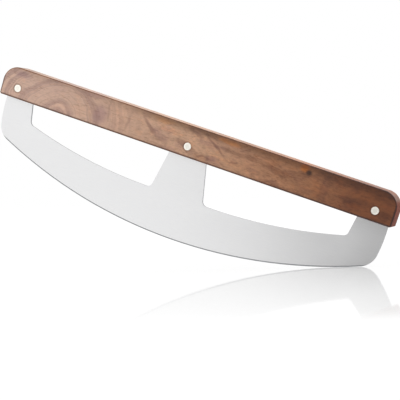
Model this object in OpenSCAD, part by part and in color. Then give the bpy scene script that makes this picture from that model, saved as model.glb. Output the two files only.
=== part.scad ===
// Rocking pizza knife: a curved steel blade on three tangs, set between two wooden handle scales
// and held by three two-part rivets.
// Millimetres. X runs along the handle, the front looks along -Y and Z is up.
// The origin is the lowest point of the rocking edge, under the middle rivet.

/* [Handle] */
// Length of the handle
handle_len = 439; // [420:1:480]
// Height of the handle's side
handle_h = 32.2; // [30:0.2:40]
// Thickness of both scales together
handle_t = 22; // [18:0.5:28]
// Radius of the handle's two upper corners
top_corner_r = 16; // [8:0.5:18]
// Radius of the handle's two lower corners
heel_corner_r = 2; // [1.8:0.1:4]
// Angle by which each end leans inwards towards its lower corner
end_rake = 1; // [0:0.5:6]
// Rounding of the scales' outer edges
edge_r = 1.4; // [0.6:0.1:1.7]

/* [Blade] */
// Thickness of the steel
blade_t = 2; // [1.5:0.1:3]
// Radius of the rocking edge
rocking_r = 530; // [480:5:600]
// Depth from the handle down to the lowest point of the edge
blade_drop = 85.4; // [80:0.2:95]
// Height of the ground bevel
bevel_h = 1.3; // [0.6:0.1:3]
// Thickness left at the cutting edge
edge_land = 0.4; // [0.2:0.1:0.8]
// Distance from the handle's end in to the blade's outer side
side_inset = 4.6; // [3.4:0.1:6]
// Depth below the handle at which each outer side starts to curve
side_straight = 7; // [1:0.5:12]
// Radius of the curve of each outer side
side_r = 143; // [120:1:180]
// Radius of the blade's two lower corners
blade_corner_r = 20; // [14:0.5:26]

/* [Windows] */
// Height of the lowest point of the windows' lower edges
band_h = 43.6; // [36:0.2:50]
// Distance from the middle out to that lowest point
window_x = 35; // [25:1:45]
// Radius of the windows' lower edges
window_r = 530; // [480:10:620]
// Radius of the windows' lower corners
window_corner_r = 6; // [4:0.5:8]

/* [Tangs] */
// Width of the middle tang where it meets the handle
neck_w = 41.2; // [34:0.2:60]
// Angle by which each side of the middle tang spreads downwards
neck_flare = 12; // [0:0.5:18]
// Width of each end tang where it meets the handle
end_tang_w = 31.6; // [28:0.1:40]
// Angle by which the inner side of each end tang spreads downwards
end_flare = 10.5; // [0:0.5:18]
// Depth to which the tangs reach up into the handle
tang_depth = 19; // [17:0.5:22]
// Cut across the tangs' upper corners
tang_chamfer = 4; // [1:0.5:6]
// Room round each tang in its pocket
pocket_gap = 0.2; // [0.1:0.05:0.4]
// Room between a tang's face and the floor of its pocket
face_gap = 0.05; // [0.02:0.01:0.2]

/* [Rivets] */
// Distance from the handle's end in to the middle of the end rivet
rivet_inset = 19.5; // [17:0.5:22]
// Height of the rivets above the handle's underside
rivet_rise = 10.8; // [9:0.1:12]
// Diameter of the rivet heads
head_d = 8; // [7:0.1:10]
// Thickness of the rivet heads
head_t = 2; // [1.2:0.1:3]
// Bevel round the rim of each head
head_bevel = 0.3; // [0.1:0.05:0.5]
// Outer diameter of each rivet's sleeve
sleeve_d = 5; // [4:0.1:5.5]
// Diameter of the post that goes into the sleeve
post_d = 3; // [2:0.1:3.4]
// Room left past the tip of a sleeve or post
tip_gap = 0.5; // [0.3:0.1:1]
// Room round a rivet in its hole
rivet_gap = 0.1; // [0.05:0.05:0.2]
// Room round the post in its sleeve
post_gap = 0.02; // [0.01:0.01:0.05]

/* [Hidden] */
$fn = 96;
// Fineness of the blade's long curves
long_fn = 720;
// How far a cut runs past what it cuts
past = 1;
// How far a corner's circle stands out past the sides that it joins, so that they cross cleanly
corner_lap = 0.02;

steel_grey = [0.84, 0.84, 0.84];
walnut_brown = [0.44, 0.29, 0.21];
rivet_grey = [0.92, 0.91, 0.88];

scale_t = handle_t / 2;
handle_bottom = blade_drop;
handle_top = handle_bottom + handle_h;
rivet_z = handle_bottom + rivet_rise;
rivet_pitch = handle_len / 2 - rivet_inset;
tang_top = handle_bottom + tang_depth;
pocket_depth = blade_t / 2 + face_gap;
side_x = handle_len / 2 - side_inset;
side_z = handle_bottom - side_straight;
end_tang_x = side_x - end_tang_w;

// Centres of the right-hand corners of the handle: the lower one sits where the leaning end
// touches both corner circles
corner_c = [handle_len / 2 - top_corner_r - corner_lap, handle_top - top_corner_r];
heel_z = handle_bottom + heel_corner_r;
heel_lean = (heel_z - corner_c.y) * sin(end_rake);
heel_c = [corner_c.x + (top_corner_r - heel_corner_r + heel_lean) / cos(end_rake), heel_z];

// Centres of the blade's long curves
rocking_c = [0, rocking_r];
window_c = [window_x, band_h + window_r];
side_c = [side_x - side_r, side_z];

// Point at distance r from p, at bearing a
function polar(p, r, a) = p + r * [cos(a), sin(a)];

// Bearing of b from a
function bearing(a, b) = atan2(b.y - a.y, b.x - a.x);

// Where the line from p at bearing a leaves the circle of radius r round c
function line_exit(p, a, c, r) =
    let (
        ahead = (c - p) * polar([0, 0], 1, a),
        aside = (c - p) * polar([0, 0], 1, a + 90)
    )
    polar(p, ahead + sqrt(r * r - aside * aside), a);

// Where the circle round a meets the circle round b, on the right of the way from a to b
function circles_meet(a, ra, b, rb) =
    let (
        d = norm(b - a),
        ahead = (ra * ra - rb * rb + d * d) / (2 * d),
        way = bearing(a, b)
    )
    polar(polar(a, ahead, way), sqrt(ra * ra - ahead * ahead), way - 90);

// Left and right side of a tang at height z; tang is -1, 0 or 1 from left to right
function neck_x(z) = neck_w / 2 + (handle_bottom - z) * tan(neck_flare);
function inner_x(z) = end_tang_x - (handle_bottom - z) * tan(end_flare);
function tang_sides(tang, z) =
    tang < 0 ? [-side_x, -inner_x(z)] :
    tang > 0 ? [inner_x(z), side_x] :
    [-neck_x(z), neck_x(z)];

// Stands a drawing up in X and Z and makes it t thick about the middle plane
module upright(t) {
    rotate([90, 0, 0])
        linear_extrude(t, center = true)
            children();
}

// A wedge with its point at c, between bearings a and b
module wedge(c, reach, a, b) {
    polygon([c, polar(c, reach, a), polar(c, 2 * reach, (a + b) / 2), polar(c, reach, b)]);
}

// What is taken off a corner to leave the circle of radius r round c, between bearings a and b
module corner_waste(c, r, a, b) {
    difference() {
        wedge(c, 3 * r, a, b);
        translate(c)
            circle(r);
    }
}

// What is cut off the two upper corners of a tang, at 45 degrees and gap away from the steel
module tang_corners(tang, gap) {
    cut = tang_chamfer - sqrt(2) * gap;
    sides = tang_sides(tang, tang_top);
    for (i = [0, 1])
        translate([sides[i], tang_top])
            mirror([1 - i, 0])
                polygon([
                    [-cut - tang_chamfer, tang_chamfer],
                    [tang_chamfer, -cut - tang_chamfer],
                    [tang_chamfer, tang_chamfer]
                ]);
}

// The pocket for a tang, open below
module pocket(tang) {
    low_z = handle_bottom - past;
    top_z = tang_top + pocket_gap;
    low = tang_sides(tang, low_z);
    top = tang_sides(tang, top_z);
    difference() {
        polygon([
            [low[0] - pocket_gap, low_z],
            [low[1] + pocket_gap, low_z],
            [top[1] + pocket_gap, top_z],
            [top[0] - pocket_gap, top_z]
        ]);
        tang_corners(tang, pocket_gap);
    }
}

// The gap between the middle and the right-hand tang: the window, and on up past the tangs
module window() {
    r = window_corner_r;
    neck_p = polar([neck_w / 2, handle_bottom], r, neck_flare);
    neck_c = line_exit(neck_p, neck_flare - 90, window_c, window_r - r);
    end_p = polar([end_tang_x, handle_bottom], r, 180 - end_flare);
    end_c = line_exit(end_p, -90 - end_flare, window_c, window_r - r);
    low = band_h - past;
    high = tang_top + past;
    difference() {
        intersection() {
            translate(window_c)
                circle(window_r, $fn = long_fn);
            polygon([
                [neck_x(low), low],
                [inner_x(low), low],
                [inner_x(high), high],
                [neck_x(high), high]
            ]);
        }
        corner_waste(neck_c, r + corner_lap, neck_flare - 180, bearing(window_c, neck_c));
        corner_waste(end_c, r + corner_lap, -end_flare, bearing(window_c, end_c));
    }
}

// The blade and its tangs, before the rocking edge is cut
module blade_outline() {
    r = blade_corner_r;
    lower_c = circles_meet(side_c, side_r - r, rocking_c, rocking_r - r);
    difference() {
        intersection() {
            translate([-handle_len / 2, -past])
                square([handle_len, tang_top + past]);
            union() {
                translate([-side_x, side_z])
                    square([2 * side_x, tang_top]);
                translate([-side_c.x, -past])
                    square([2 * side_c.x, side_z + past]);
                for (side = [-1, 1])
                    translate([side * side_c.x, side_c.y])
                        circle(side_r, $fn = long_fn);
            }
        }
        for (side = [0, 1])
            mirror([side, 0]) {
                window();
                corner_waste(
                    lower_c, r + corner_lap, bearing(rocking_c, lower_c), bearing(side_c, lower_c)
                );
            }
        for (tang = [-1:1])
            tang_corners(tang, 0);
    }
}

// A disc of the blade's thickness with the ground bevel round its rim
module ground_disc() {
    translate([rocking_c.x, 0, rocking_c.y])
        rotate([90, 0, 0])
            rotate_extrude($fn = long_fn)
                polygon([
                    [0, -blade_t / 2],
                    [rocking_r - bevel_h, -blade_t / 2],
                    [rocking_r, -edge_land / 2],
                    [rocking_r, edge_land / 2],
                    [rocking_r - bevel_h, blade_t / 2],
                    [0, blade_t / 2]
                ]);
}

// A hole along Y through the middle plane, for the rivet at tang
module rivet_hole(tang, d, depth) {
    translate([tang * rivet_pitch, 0, rivet_z])
        rotate([90, 0, 0])
            cylinder(d = d, h = 2 * depth, center = true);
}

module blade() {
    color(steel_grey)
        difference() {
            intersection() {
                ground_disc();
                upright(blade_t + 2 * past)
                    blade_outline();
            }
            for (tang = [-1:1])
                rivet_hole(tang, sleeve_d + 2 * rivet_gap, blade_t);
        }
}

// Section through a scale from far in to its rounded edge at reach, and from low up to its outer
// face, with the edge and the face grown by grow
module rim_section(far, reach, low, grow) {
    difference() {
        translate([far, low])
            square([reach + grow - far, scale_t + grow - low]);
        corner_waste([reach - edge_r, scale_t - edge_r], edge_r + grow, 0, 90);
    }
}

// A slab as thick as a scale, with its rounded edge along the line through p at bearing a, which has
// the slab on its right
module rim_slab(p, a) {
    translate(p)
        rotate(a)
            rotate([90, 0, 90])
                linear_extrude(4 * handle_len, center = true)
                    rim_section(-2 * handle_len, 0, 0, 0);
}

// What is taken off a corner of a scale to leave a rounded disc of radius r round c, between
// bearings a and b
module rim_waste(c, r, a, b) {
    difference() {
        translate([0, 0, -past])
            linear_extrude(scale_t + 2 * past)
                wedge(c, 3 * r, a, b);
        translate(c)
            rotate_extrude()
                rim_section(0, r, -2 * past, corner_lap);
    }
}

// A scale without its pockets and holes, lying with its outer face up
module scale_blank() {
    end_p = polar(corner_c, top_corner_r, -end_rake);
    difference() {
        intersection() {
            rim_slab([0, handle_top], 0);
            rim_slab([0, handle_bottom], 180);
            rim_slab(end_p, -90 - end_rake);
            mirror([1, 0, 0])
                rim_slab(end_p, -90 - end_rake);
        }
        for (side = [0, 1])
            mirror([side, 0, 0]) {
                rim_waste(corner_c, top_corner_r, -end_rake, 90);
                rim_waste(heel_c, heel_corner_r, -90, -end_rake);
            }
    }
}

module front_scale() {
    color(walnut_brown)
        difference() {
            rotate([90, 0, 0])
                scale_blank();
            upright(2 * pocket_depth)
                for (tang = [-1:1])
                    pocket(tang);
            for (tang = [-1:1]) {
                rivet_hole(tang, sleeve_d + 2 * rivet_gap, handle_t);
                translate([0, -handle_t, 0])
                    rivet_hole(tang, head_d + 2 * rivet_gap, scale_t + head_t);
            }
        }
}

module back_scale() {
    mirror([0, 1, 0])
        front_scale();
}

// The half of a rivet with the tube, its head flush with the front
module rivet_sleeve(tang) {
    tip = scale_t - head_t - tip_gap;
    color(rivet_grey)
        translate([tang * rivet_pitch, 0, rivet_z])
            rotate([90, 0, 0])
                rotate_extrude()
                    polygon([
                        [post_d / 2 + post_gap, -tip],
                        [sleeve_d / 2, -tip],
                        [sleeve_d / 2, scale_t - head_t],
                        [head_d / 2, scale_t - head_t],
                        [head_d / 2, scale_t - head_bevel],
                        [head_d / 2 - head_bevel, scale_t],
                        [0, scale_t],
                        [0, scale_t - head_t],
                        [post_d / 2 + post_gap, scale_t - head_t]
                    ]);
}

// The half of a rivet with the post, its head flush with the back
module rivet_post(tang) {
    tip = scale_t - head_t - tip_gap;
    color(rivet_grey)
        translate([tang * rivet_pitch, 0, rivet_z])
            rotate([90, 0, 0])
                rotate_extrude()
                    polygon([
                        [0, tip],
                        [post_d / 2, tip],
                        [post_d / 2, head_t - scale_t],
                        [head_d / 2, head_t - scale_t],
                        [head_d / 2, head_bevel - scale_t],
                        [head_d / 2 - head_bevel, -scale_t],
                        [0, -scale_t]
                    ]);
}

blade();
front_scale();
back_scale();
rivet_sleeve(-1);  // left_rivet_sleeve
rivet_post(-1);  // left_rivet_post
rivet_sleeve(0);  // middle_rivet_sleeve
rivet_post(0);  // middle_rivet_post
rivet_sleeve(1);  // right_rivet_sleeve
rivet_post(1);  // right_rivet_post
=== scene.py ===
"""Looks for the rocking pizza knife: walnut, ground steel and polished rivets on a glossy white floor."""

import math

import bpy
from mathutils import Matrix, Vector


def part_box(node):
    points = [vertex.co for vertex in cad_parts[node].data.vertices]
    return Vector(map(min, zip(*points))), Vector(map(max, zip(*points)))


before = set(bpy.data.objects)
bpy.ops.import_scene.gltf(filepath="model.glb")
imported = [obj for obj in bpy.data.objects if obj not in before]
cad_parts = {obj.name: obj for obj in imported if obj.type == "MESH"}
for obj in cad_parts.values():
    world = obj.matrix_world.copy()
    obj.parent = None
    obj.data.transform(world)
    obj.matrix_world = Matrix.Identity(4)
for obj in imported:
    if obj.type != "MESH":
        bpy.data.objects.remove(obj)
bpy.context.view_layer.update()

MM = 0.001
WHITE = (1, 1, 1, 1)
RIVET_SIDES = ("left", "middle", "right")

# The rocking edge is an arc about a centre above the origin, with a ground bevel along it
ROCKING_R = 530 * MM
BEVEL_H = 1.3 * MM

# The knife is rolled along that arc to its right-hand end, where it touches the floor
FLOOR_ROLL = math.radians(20.5)
FLOOR_UP = Vector((-math.sin(FLOOR_ROLL), 0, math.cos(FLOOR_ROLL)))
CONTACT = Vector((0, 0, ROCKING_R)) - ROCKING_R * FLOOR_UP

# The photograph's camera; its up leans a little less than the floor's
CAMERA_AT = Vector((0.4442, -1.2171, 0.2265))
CAMERA_AIM = Vector((0.0254, 0, 0.0481))
CAMERA_ROLL = math.radians(17.9)
CAMERA_UP = Vector((-math.sin(CAMERA_ROLL), 0, math.cos(CAMERA_ROLL)))
LENS_MM = 116.5
SENSOR_MM = 36

FRONT_LOW, FRONT_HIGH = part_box("front_scale")
HANDLE_RIGHT = FRONT_HIGH.x
HANDLE_BOTTOM = FRONT_LOW.z
HANDLE_TOP = FRONT_HIGH.z


class Tree:
    """The node tree of a material or of the world, with short calls for the nodes used here."""

    def __init__(self, owner, output="ShaderNodeOutputMaterial"):
        owner.use_nodes = True
        self.owner = owner
        self.nodes = owner.node_tree.nodes
        self.links = owner.node_tree.links
        self.nodes.clear()
        self.output = self.add(output)

    def add(self, kind, inputs=None, **settings):
        """A node of this kind; inputs are values or other nodes' sockets, by name or number."""
        node = self.nodes.new(kind)
        for key, value in settings.items():
            setattr(node, key, value)
        for key, value in (inputs or {}).items():
            socket = node.inputs[key]
            if isinstance(value, bpy.types.NodeSocket):
                self.links.new(value, socket)
            else:
                socket.default_value = value
        return node

    def math(self, operation, *values):
        return self.add("ShaderNodeMath", dict(enumerate(values)), operation=operation).outputs[0]

    def vector_math(self, operation, *values):
        return self.add("ShaderNodeVectorMath", dict(enumerate(values)), operation=operation).outputs

    def place(self):
        """The point in the row frame, as a vector and as its three parts."""
        point = self.add("ShaderNodeTexCoord").outputs["Object"]
        parts = self.add("ShaderNodeSeparateXYZ", {0: point}).outputs
        return point, parts[0], parts[1], parts[2]

    def face_turn(self, axis):
        """How far the surface faces along this axis, either way: 1 if squarely, 0 if it lies along it."""
        normal = self.add("ShaderNodeNewGeometry").outputs["Normal"]
        return self.math("ABSOLUTE", self.add("ShaderNodeSeparateXYZ", {0: normal}).outputs[axis])

    def from_axis(self, point, centre):
        """Distance from the axis through this centre along Y."""
        flat = self.vector_math("MULTIPLY", self.vector_math("SUBTRACT", point, centre)[0], (1, 0, 1))[0]
        return self.vector_math("LENGTH", flat)[1]

    def noise(self, point, scale, detail=3.0, roughness=0.5):
        """Noise with as many patches to the metre along X, Y and Z as scale says."""
        stretched = self.add("ShaderNodeMapping", {"Vector": point, "Scale": scale}).outputs[0]
        inputs = {"Vector": stretched, "Scale": 1.0, "Detail": detail, "Roughness": roughness}
        return self.add("ShaderNodeTexNoise", inputs).outputs["Fac"]

    def noise_1d(self, value, scale, detail=2.0, roughness=0.5):
        inputs = {"W": value, "Scale": scale, "Detail": detail, "Roughness": roughness}
        return self.add("ShaderNodeTexNoise", inputs, noise_dimensions="1D").outputs["Fac"]

    def warped(self, point, scale, amount):
        """The point moved about by a noise, by up to about half of amount."""
        inputs = {"Vector": point, "Scale": scale, "Detail": 3.0}
        colour = self.add("ShaderNodeTexNoise", inputs).outputs["Color"]
        centred = self.vector_math("SUBTRACT", colour, (0.5, 0.5, 0.5))[0]
        inputs = {0: centred, "Scale": amount}
        shift = self.add("ShaderNodeVectorMath", inputs, operation="SCALE").outputs[0]
        return self.vector_math("ADD", point, shift)[0]

    def rings(self, point, centre, half, tilt=0.0):
        """Distance from a centre (x, z) in the front's plane, as a multiple of the ellipse's half sizes."""
        inputs = {
            "Vector": point,
            "Location": (centre[0], 0, centre[1]),
            "Rotation": (0, -math.radians(tilt), 0),
            "Scale": (half[0], 1000, half[1]),
        }
        inner = self.add("ShaderNodeMapping", inputs, vector_type="TEXTURE").outputs[0]
        return self.vector_math("LENGTH", inner)[1]

    def patch(self, point, x_mm, z_mm, half_x_mm, half_z_mm, tilt=0.0, strength=1.0):
        """A soft elliptical patch on the front: strength inside, 0 outside."""
        ring = self.rings(point, (x_mm * MM, z_mm * MM), (half_x_mm * MM, half_z_mm * MM), tilt)
        return self.ramp(ring, 0.35, 1.25, strength, 0.0)

    def ramp(self, value, low, high, to_low=0.0, to_high=1.0, kind="SMOOTHSTEP"):
        """The value taken from low..high to to_low..to_high, and held at either end."""
        inputs = {0: value, 1: low, 2: high, 3: to_low, 4: to_high}
        return self.add("ShaderNodeMapRange", inputs, interpolation_type=kind).outputs[0]

    def mix(self, factor, a, b):
        return self.add("ShaderNodeMix", {0: factor, 2: a, 3: b}).outputs[0]

    def blend(self, factor, a, b, kind="MIX"):
        inputs = {0: factor, 6: a, 7: b}
        return self.add("ShaderNodeMix", inputs, data_type="RGBA", blend_type=kind).outputs[2]

    def tint(self, colour, shares, *masks):
        """The colour multiplied by these shares of red, green and blue where all the masks are 1."""
        factor = masks[0]
        for mask in masks[1:]:
            factor = self.math("MULTIPLY", factor, mask)
        return self.blend(factor, colour, (*shares, 1), "MULTIPLY")

    def bump(self, height, strength, distance):
        inputs = {"Height": height, "Strength": strength, "Distance": distance}
        return self.add("ShaderNodeBump", inputs).outputs[0]

    def shader_mix(self, factor, a, b):
        return self.add("ShaderNodeMixShader", {0: factor, 1: a, 2: b}).outputs[0]

    def finish(self, shader):
        self.links.new(shader, self.output.inputs["Surface"])
        return self.owner


def new_material(name):
    return Tree(bpy.data.materials.new(name))


def rgb(red, green, blue):
    """A colour written as on screen, 0 to 255, as the linear values that a socket takes."""
    def linear(c):
        c /= 255
        return c / 12.92 if c <= 0.04045 else ((c + 0.055) / 1.055) ** 2.4
    return (linear(red), linear(green), linear(blue), 1.0)


def wood_base(t, x):
    """The walnut's colour, from pale pinkish on the left to dark on the right: partly its own sapwood and
    heartwood, partly painted light, with a painted sheen and brighter light on the left and painted shade on
    the right.
    """
    colour = rgb(218, 183, 163)
    zones_mm = (
        (-200, 20, rgb(210, 167, 137)),
        (-20, 110, rgb(178, 127, 92)),
        (80, 200, rgb(127, 74, 41)),
    )
    # Partly painted light: these zones also carry the painted sheen on the left and painted shade on the
    # right
    for start, end, tone in zones_mm:
        colour = t.blend(t.ramp(x, start * MM, end * MM), colour, tone)
    return colour


def wood_figure(t, colour, point, x):
    """Arches on the left, running out into arcs and then into straight grain on the right."""
    bent = t.warped(point, 28.0, 0.016)
    arch_centre = (-147 * MM, 85.4 * MM)
    arch_half = (23.5 * MM, 17 * MM)
    ring = t.rings(bent, arch_centre, arch_half)
    arches = t.ramp(t.noise_1d(ring, 2.4), 0.46, 0.62)
    lines = t.ramp(t.noise_1d(ring, 8.0), 0.50, 0.72)
    on_left = t.ramp(x, -75 * MM, -30 * MM, 1.0, 0.0)
    arch_share = t.ramp(x, -110 * MM, -95 * MM, 1.0, 0.45)
    line_share = t.ramp(x, -110 * MM, -92 * MM, 1.0, 0.25)
    colour = t.tint(colour, (0.76, 0.73, 0.77), on_left, arch_share, arches)
    colour = t.tint(colour, (0.90, 0.87, 0.86), on_left, line_share, lines)

    grain = t.noise(bent, (16, 110, 110), 4.0, 0.6)
    grain_share = t.ramp(x, -70 * MM, 20 * MM, 0.15, 1.0)
    colour = t.tint(colour, (0.66, 0.61, 0.60), grain_share, t.ramp(grain, 0.48, 0.68))
    return t.tint(colour, (1.14, 1.09, 1.02), grain_share, t.ramp(grain, 0.50, 0.30))


def wood_mottle(t, colour, point, x):
    """Purple-grey and orange smudges all over, softest among the arches on the left."""
    share = t.ramp(x, -90 * MM, -10 * MM, 0.45, 1.0)
    grey = t.noise(point, (55, 110, 110), 3.0, 0.55)
    orange = t.noise(point, (70, 130, 130), 2.0)
    small = t.noise(point, (230, 420, 420), 3.0, 0.6)
    colour = t.tint(colour, (0.85, 0.82, 0.88), share, t.ramp(grey, 0.50, 0.68))
    colour = t.tint(colour, (1.05, 0.97, 0.89), share, t.ramp(orange, 0.53, 0.72))
    colour = t.tint(colour, (0.82, 0.79, 0.79), share, t.ramp(small, 0.50, 0.68))
    return t.tint(colour, (1.12, 1.10, 1.09), share, t.ramp(small, 0.50, 0.32))


def wood_marks(t, colour, point):
    """The marks that single this piece of walnut out, placed on the front of the handle."""
    bent = t.warped(point, 90.0, 0.006)

    # Each patch: x and z of its middle and its half sizes in mm, tilt in degrees, strength
    purple = (
        (-198, 112, 11, 4, 5, 0.8),
        (-101, 98, 9, 12, 0, 1.0),
        (-112, 116, 14, 4, 0, 0.7),
        (-33, 99, 12, 4, -25, 0.7),
        (28, 92, 10, 3, 10, 0.8),
        (147, 101, 5, 14, 0, 0.7),
    )
    dark = (
        (-92.5, 104, 1.8, 12, 6, 0.45),
        (-69, 101, 1.8, 13, -12, 0.45),
        (-44, 103, 16, 2.2, -40, 0.9),
        (29, 105, 16, 1.8, -31, 0.9),
        (4, 112, 12, 2.2, -20, 0.7),
        (12, 89, 10, 2.2, 28, 0.6),
        (51, 96, 6, 1.4, 12, 0.9),
        (95, 91, 8, 1.2, 14, 0.5),
        (112, 105, 6, 1.6, 10, 0.6),
        (179, 97, 15, 6, 4, 0.6),
        (150, 112, 18, 3, -6, 0.6),
    )
    pale = (
        (-79, 100, 10, 14, 0, 1.0),
        (-146, 92, 16, 6, 0, 0.8),
        (70, 104, 20, 6, 5, 0.6),
        (182, 98, 4, 2, 0, 0.6),
    )
    orange = (
        (41, 114, 14, 3, -5, 1.0),
        (178, 94, 10, 3, 0, 0.5),
        (-30, 113, 12, 3, 0, 0.6),
    )
    groups = (
        (purple, (0.76, 0.72, 0.82)),
        (dark, (0.62, 0.56, 0.58)),
        (pale, (1.10, 1.08, 1.06)),
        (orange, (1.22, 0.98, 0.66)),
    )
    for patches, shares in groups:
        for patch in patches:
            colour = t.tint(colour, shares, t.patch(bent, *patch))

    greyish_strip = t.patch(bent, 96, 88.5, 30, 7.5)
    beside_knot = t.patch(point, 122.5, 113.2, 5.5, 4.5)
    knot = t.patch(point, 127.5, 110.2, 3.6, 2.9)
    colour = t.tint(colour, (1.20, 1.22, 1.26), greyish_strip)
    colour = t.tint(colour, (1.45, 1.05, 0.42), beside_knot)
    return t.tint(colour, (0.20, 0.17, 0.16), knot)


def wood_ends_and_top(t, colour, x, end_grain):
    """Darker end grain, redder on the right, and on the top a painted highlight towards the right and
    painted shade towards the left.
    """
    colour = t.tint(colour, (0.72, 0.60, 0.53), end_grain)
    colour = t.tint(colour, (1.32, 0.90, 0.83), end_grain, t.ramp(x, 0.0, 200 * MM))
    # Painted light: the top lighter towards the right and darker towards the left
    top = t.ramp(t.face_turn("Z"), 0.75, 0.95)
    colour = t.tint(colour, (1.45, 1.38, 1.32), top, t.ramp(x, 30 * MM, 150 * MM))
    return t.tint(colour, (0.78, 0.74, 0.68), top, t.ramp(x, -200 * MM, -130 * MM, 1.0, 0.0))


def wood_rim_shade(t, colour, x, z, turn):
    """Painted shade: a dark line along the front's and back's ends and lower edge, and a dark band under
    their top.
    """
    facing = t.ramp(turn, 0.5, 0.8)
    from_end = t.math("SUBTRACT", HANDLE_RIGHT, t.math("ABSOLUTE", x))
    from_rim = t.math("MINIMUM", from_end, t.math("SUBTRACT", z, HANDLE_BOTTOM))
    # Painted shade along the rounded ends and lower edge
    colour = t.tint(colour, (0.40, 0.35, 0.33), facing, t.ramp(from_rim, 2.4 * MM, 1.2 * MM))
    # Painted shade in a band under the top edge
    under_top = t.ramp(z, HANDLE_TOP - 10 * MM, HANDLE_TOP - 1 * MM)
    band_share = t.ramp(x, -100 * MM, -30 * MM, 0.30, 1.0)
    return t.tint(colour, (0.46, 0.40, 0.32), facing, under_top, band_share)


def wood_seam(t, colour, y, turn):
    """The thin dark line where the two scales meet, on the top, the ends and the underside."""
    at_middle = t.ramp(t.math("ABSOLUTE", y), 0.2 * MM, 0.6 * MM, 1.0, 0.0)
    return t.tint(colour, (0.45, 0.42, 0.40), at_middle, t.ramp(turn, 0.2, 0.5, 1.0, 0.0))


def wood_shade_round_rivets(t, colour, point):
    """Painted shade: a darker ring on the wood round each rivet head."""
    for side in RIVET_SIDES:
        low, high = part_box(side + "_rivet_sleeve")
        middle = (low + high) / 2
        head_r = (high.x - low.x) / 2
        ring = t.rings(point, (middle.x, middle.z), (head_r, head_r))
        # Painted shade round the rivet head
        colour = t.tint(colour, (0.66, 0.60, 0.56), t.ramp(ring, 1.05, 1.5, 0.85, 0.0))
    return colour


def walnut():
    """Oiled walnut, used for both scales."""
    t = new_material("walnut")
    point, x, y, z = t.place()
    turn = t.face_turn("Y")
    end_grain = t.ramp(t.face_turn("X"), 0.75, 0.95)
    colour = wood_base(t, x)
    colour = wood_figure(t, colour, point, x)
    colour = wood_mottle(t, colour, point, x)
    colour = wood_marks(t, colour, point)
    # Painted shade: the rounded edges of front and back darker and browner, for the dark they reflect
    colour = t.tint(colour, (0.42, 0.25, 0.10), t.ramp(turn, 0.992, 0.965), t.ramp(turn, 0.10, 0.30))
    colour = wood_ends_and_top(t, colour, x, end_grain)
    colour = wood_rim_shade(t, colour, x, z, turn)
    colour = wood_seam(t, colour, y, turn)
    colour = wood_shade_round_rivets(t, colour, point)

    fibre = t.noise(point, (60, 900, 900), 4.0, 0.6)
    pore = t.ramp(t.noise(point, (170, 1500, 1500), 2.0), 0.60, 0.72)
    colour = t.tint(colour, (0.80, 0.76, 0.74), t.ramp(fibre, 0.50, 0.80))
    colour = t.tint(colour, (0.74, 0.68, 0.64), pore)

    height = t.math("SUBTRACT", t.math("MULTIPLY", fibre, 0.3), t.math("MULTIPLY", pore, 0.7))
    openness = t.math("ADD", fibre, t.math("MULTIPLY", pore, 0.5))
    roughness = t.ramp(openness, 0.3, 1.0, 0.40, 0.60)
    roughness = t.math("ADD", roughness, t.math("MULTIPLY", end_grain, 0.35))
    shader = t.add(
        "ShaderNodeBsdfPrincipled",
        {
            "Base Color": colour,
            "Roughness": roughness,
            "Specular IOR Level": 0.5,
            "Normal": t.bump(height, 0.3, 0.0003),
        },
    )
    return t.finish(shader.outputs[0])


def metal(t, colour, roughness, marks, strength, depth):
    """Bare metal with these marks in its surface."""
    shader = t.add(
        "ShaderNodeBsdfPrincipled",
        {
            "Base Color": colour,
            "Metallic": 1.0,
            "Roughness": roughness,
            "Normal": t.bump(marks, strength, depth),
        },
    )
    return t.finish(shader.outputs[0])


def blade_steel():
    """Satin steel ground along the blade, with a cross-ground bevel at its edge; the bevel and the cut sides
    are coloured darker, painted shade for the dark they reflect.
    """
    t = new_material("blade_steel")
    point, x, _, z = t.place()
    bevel_start = ROCKING_R - BEVEL_H
    radius = t.from_axis(point, (0, 0, ROCKING_R))
    bevel = t.ramp(radius, bevel_start - 0.1 * MM, bevel_start + 0.1 * MM)
    cut_side = t.ramp(t.face_turn("Y"), 0.2, 0.5, 1.0, 0.0)

    brushed = t.noise(point, (90, 5000, 5000), 3.0, 0.55)
    cloud = t.noise(point, (12, 40, 40))
    along_edge = t.math("ARCTAN2", x, t.math("SUBTRACT", ROCKING_R, z))
    cross = t.noise_1d(along_edge, 3000.0, 3.0, 0.6)
    marks = t.mix(bevel, brushed, cross)

    flat_tone = t.blend(t.ramp(brushed, 0.3, 0.7), rgb(230, 230, 231), rgb(235, 235, 235))
    # Painted shade: the flat steel darker towards its right end
    flat_tone = t.tint(flat_tone, (0.90, 0.90, 0.90), t.ramp(x, 175 * MM, 215 * MM))
    # Painted shade: darker colours for the bevel and the cut sides
    bevel_shade = t.blend(t.ramp(cross, 0.3, 0.7), rgb(120, 122, 124), rgb(160, 161, 163))
    cut_side_shade = t.blend(t.ramp(cloud, 0.4, 0.6), rgb(132, 132, 135), rgb(162, 162, 164))
    colour = t.blend(cut_side, t.blend(bevel, flat_tone, bevel_shade), cut_side_shade)
    roughness = t.math("ADD", t.ramp(marks, 0.3, 0.7, 0.30, 0.34), t.ramp(cloud, 0.4, 0.7, -0.02, 0.03))
    return metal(t, colour, roughness, marks, 0.012, 0.0001)


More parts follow.
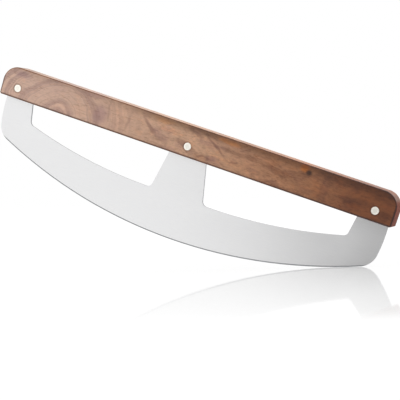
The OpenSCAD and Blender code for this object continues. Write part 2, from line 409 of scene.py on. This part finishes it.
def rivet_steel(name, centre):
    """Rivet metal with fine turning marks round its own axis, a little darker in the middle."""
    t = new_material(name)
    point = t.place()[0]
    radius = t.from_axis(point, centre)
    turned = t.noise_1d(radius, 5000.0, 3.0, 0.6)
    cloud = t.noise(point, (700, 700, 700))
    middle = t.ramp(radius, 3.0 * MM, 1.5 * MM, 0.0, 0.5)
    colour = t.blend(t.ramp(turned, 0.3, 0.7), rgb(250, 246, 236), rgb(255, 252, 244))
    colour = t.blend(middle, colour, rgb(224, 221, 212))
    roughness = t.math("ADD", t.ramp(turned, 0.3, 0.7, 0.50, 0.60), t.ramp(cloud, 0.4, 0.7, -0.02, 0.04))
    return metal(t, colour, roughness, turned, 0.1, 0.00005)


def set_material(node, material):
    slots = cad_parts[node].data.materials
    slots.clear()
    slots.append(material)


def dress_nodes():
    wood = walnut()
    for node in ("front_scale", "back_scale"):
        set_material(node, wood)
    set_material("blade", blade_steel())
    for side in RIVET_SIDES:
        low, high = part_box(side + "_rivet_sleeve")
        steel = rivet_steel(side + "_rivet_steel", (low + high) / 2)
        set_material(side + "_rivet_sleeve", steel)
        set_material(side + "_rivet_post", steel)


def seen(t):
    """1 for what the camera, a mirror or a clear piece shows, and 0 for light that falls on things."""
    path = t.add("ShaderNodeLightPath").outputs
    shown = t.math("MAXIMUM", path["Is Camera Ray"], path["Is Glossy Ray"])
    return t.math("MAXIMUM", shown, path["Is Transmission Ray"])


def floor_material():
    """White floor: it keeps a faint shadow, and mirrors the knife at a low angle near the contact point."""
    t = new_material("floor_white")
    away = t.vector_math("LENGTH", t.place()[0])[1]
    plain = t.add("ShaderNodeBsdfDiffuse", {"Color": (0.86, 0.86, 0.86, 1)}).outputs[0]
    glow = t.add("ShaderNodeEmission", {"Color": WHITE, "Strength": 1.06}).outputs[0]
    mirror = t.add("ShaderNodeBsdfGlossy", {"Color": WHITE, "Roughness": 0.04}).outputs[0]

    shadow_share = t.ramp(away, 0.10, 0.60, 0.20, 0.0)
    grazing = t.add("ShaderNodeLayerWeight", {"Blend": 0.5}).outputs["Facing"]
    fade = t.ramp(away, 0.0, 0.62, 1.0, 0.0, kind="LINEAR")
    mirror_share = t.math("MULTIPLY", fade, t.ramp(grazing, 0.55, 0.92, 0.08, 0.55))
    mirror_share = t.math("MULTIPLY", mirror_share, t.ramp(away, 0.40, 0.495, 1.0, 0.0))

    glossy = t.shader_mix(mirror_share, t.shader_mix(shadow_share, glow, plain), mirror)
    shown = t.shader_mix(seen(t), plain, glossy)
    from_below = t.add("ShaderNodeNewGeometry").outputs["Backfacing"]
    clear = t.add("ShaderNodeBsdfTransparent").outputs[0]
    return t.finish(t.shader_mix(from_below, shown, clear))


def add_flat(name, corners, material):
    """A single flat face with these corners."""
    mesh = bpy.data.meshes.new(name)
    mesh.from_pydata(corners, [], [range(len(corners))])
    mesh.materials.append(material)
    face = bpy.data.objects.new(name, mesh)
    bpy.context.scene.collection.objects.link(face)
    return face


def make_floor():
    """A round floor that touches the rolled knife at its contact point; seen from below it isn't there."""
    radius = 4.0
    count = 96
    turns = [2 * math.pi * i / count for i in range(count)]
    rim = [(radius * math.cos(turn), radius * math.sin(turn), 0) for turn in turns]
    floor = add_flat("floor", rim, floor_material())
    floor.matrix_world = Matrix.Translation(CONTACT) @ Matrix.Rotation(-FLOOR_ROLL, 4, "Y")


def make_card():
    """A dark card at the front right, out of the camera's sight, that gives the steel its falling tone."""
    left, right = -0.10, 1.3
    low, high = -0.3, 0.9
    front = -0.8
    t = new_material("dark_card")
    dark = t.finish(t.add("ShaderNodeBsdfDiffuse", {"Color": (0.08, 0.08, 0.08, 1)}).outputs[0])
    corners = [(left, front, low), (right, front, low), (right, front, high), (left, front, high)]
    card = add_flat("dark_card", corners, dark)
    card.visible_camera = False


def make_world():
    """White where it is seen, and dimmer as a light."""
    t = Tree(bpy.data.worlds.new("studio"), "ShaderNodeOutputWorld")
    strength = t.ramp(seen(t), 0.0, 1.0, 0.6, 1.0, kind="LINEAR")
    background = t.add("ShaderNodeBackground", {"Color": WHITE, "Strength": strength})
    bpy.context.scene.world = t.finish(background.outputs[0])


def softbox(name, at, aim, width, height, brightness):
    """An area light whose face is that many times as bright as white."""
    light = bpy.data.lights.new(name, "AREA")
    light.shape = "RECTANGLE"
    light.size = width
    light.size_y = height
    light.energy = brightness * math.pi * width * height
    lamp = bpy.data.objects.new(name, light)
    bpy.context.scene.collection.objects.link(lamp)
    at = Vector(at)
    lamp.location = at
    lamp.rotation_mode = "QUATERNION"
    lamp.rotation_quaternion = (Vector(aim) - at).to_track_quat("-Z", "Y")
    lamp.visible_camera = False


def make_lights():
    softbox("key_left", at=(-0.85, -0.60, 0.60), aim=(-0.15, 0, 0.10), width=0.6, height=0.6, brightness=3.0)
    softbox("overhead", at=(0.15, 0.15, 1.2), aim=(0.1, 0, 0.1), width=1.2, height=0.8, brightness=2.0)


def make_camera():
    data = bpy.data.cameras.new("camera")
    data.lens = LENS_MM
    data.sensor_width = SENSOR_MM
    camera = bpy.data.objects.new("camera", data)
    bpy.context.scene.collection.objects.link(camera)
    forward = (CAMERA_AIM - CAMERA_AT).normalized()
    right = forward.cross(CAMERA_UP).normalized()
    up = right.cross(forward)
    turn = Matrix((right, up, -forward)).transposed().to_4x4()
    camera.matrix_world = Matrix.Translation(CAMERA_AT) @ turn
    bpy.context.scene.camera = camera


dress_nodes()
make_floor()
make_card()
make_world()
make_lights()
make_camera()
bpy.context.scene.view_settings.view_transform = "Standard"
